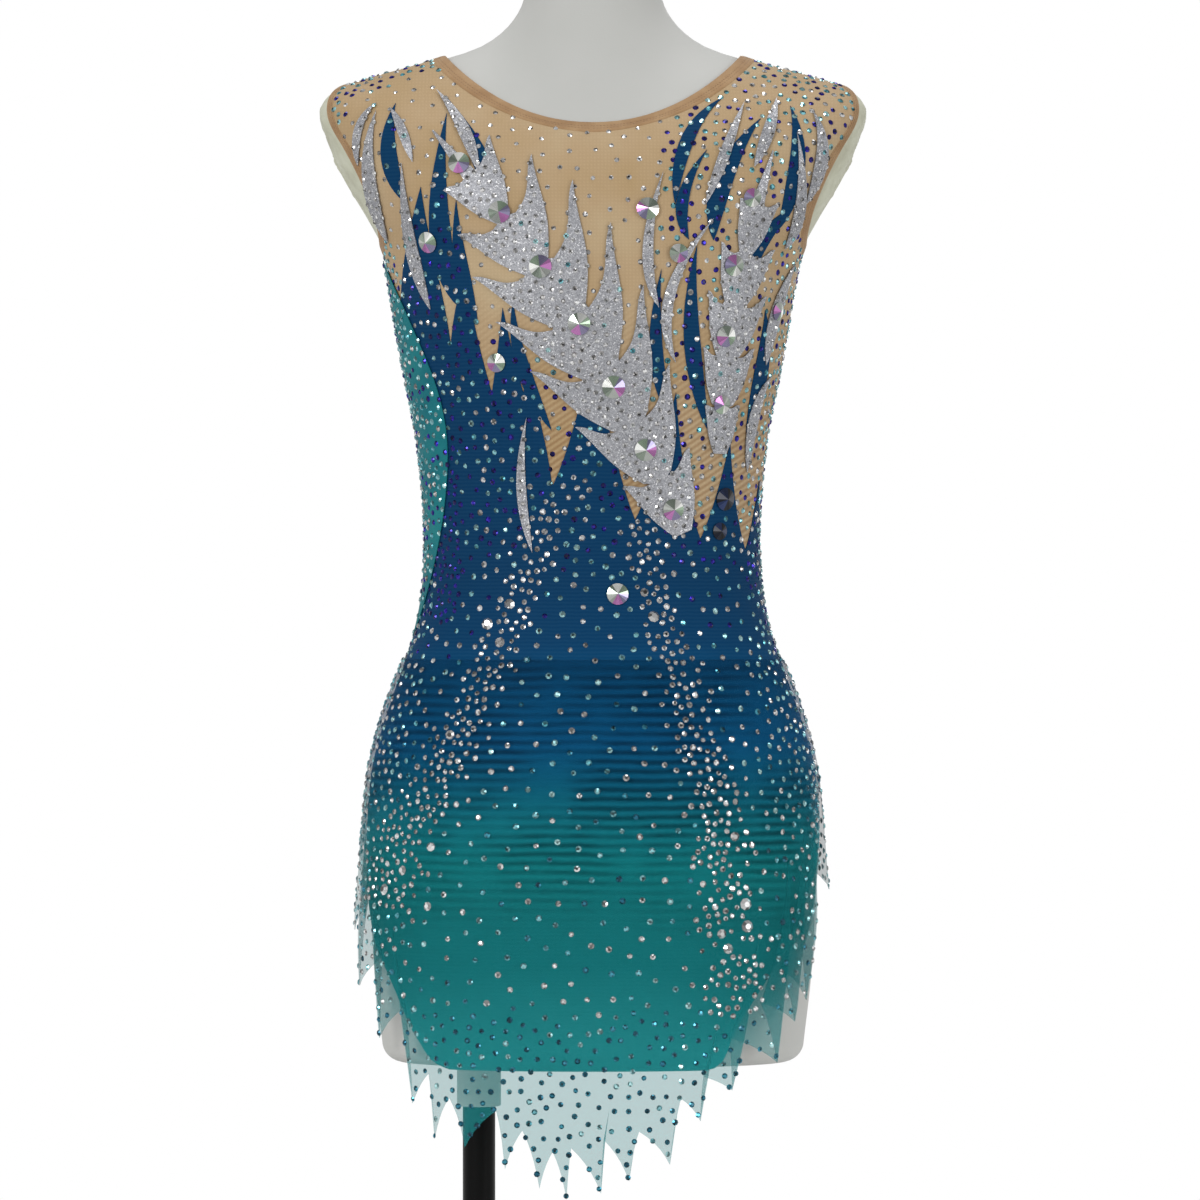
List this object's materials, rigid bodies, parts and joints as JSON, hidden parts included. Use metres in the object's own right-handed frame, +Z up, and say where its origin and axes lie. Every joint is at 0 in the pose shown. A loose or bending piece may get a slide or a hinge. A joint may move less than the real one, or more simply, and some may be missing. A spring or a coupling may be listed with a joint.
{
  "type": "rhythmic gymnastics leotard on a dress form",
  "caption": "Sleeveless competition leotard in nude, blue and teal stretch cloth with a pointed skirt, foil leaves and crystals, worn by a limbless dress form on a stand.",
  "frame": {"origin": "centre of the round base's underside, on the surface that it stands on", "axes": "+Z up, +Y towards the front of the garment, +X towards its right side as seen from behind"},
  "size_m": [0.4078, 0.33, 1.103],
  "materials": {
    "form_cover": "matt",
    "black_steel": "satin black paint",
    "nude_mesh": "fine power mesh",
    "nude_binding": "folded mesh strip",
    "blue_lycra": "matt stretch knit, deep blue to teal",
    "teal_mesh": "sheer stretch mesh, blue to teal",
    "silver_foil": "glittering foil",
    "clear_crystal": "faceted, foiled back",
    "dark_crystal": "faceted, foiled back"
  },
  "bodies": {
    "root": {"form_torso": "form_cover", "form_socket": "form_cover", "stand_pole": "black_steel", "stand_collar": "black_steel", "stand_base": "black_steel", "yoke_back": "nude_mesh", "yoke_front": "nude_mesh", "neck_binding": "nude_binding", "armhole_binding_left": "nude_binding", "armhole_binding_right": "nude_binding", "body_back": "blue_lycra", "body_front": "blue_lycra", "body_gusset": "blue_lycra", "skirt_back": "teal_mesh", "skirt_front": "teal_mesh", "foil_spray_left": "silver_foil", "foil_spray_right": "silver_foil", "large_stone_01": "clear_crystal", "large_stone_02": "clear_crystal", "large_stone_03": "clear_crystal", "large_stone_04": "clear_crystal", "large_stone_05": "clear_crystal", "large_stone_06": "clear_crystal", "large_stone_07": "clear_crystal", "large_stone_08": "clear_crystal", "large_stone_09": "clear_crystal", "large_stone_10": "clear_crystal", "large_stone_11": "clear_crystal", "large_stone_12": "clear_crystal", "large_stone_13": "clear_crystal", "large_stone_14": "clear_crystal", "large_stone_15": "dark_crystal", "large_stone_16": "dark_crystal", "large_stone_17": "clear_crystal", "large_stone_18": "clear_crystal", "large_stone_19": "clear_crystal"}
  },
  "joints": []
}
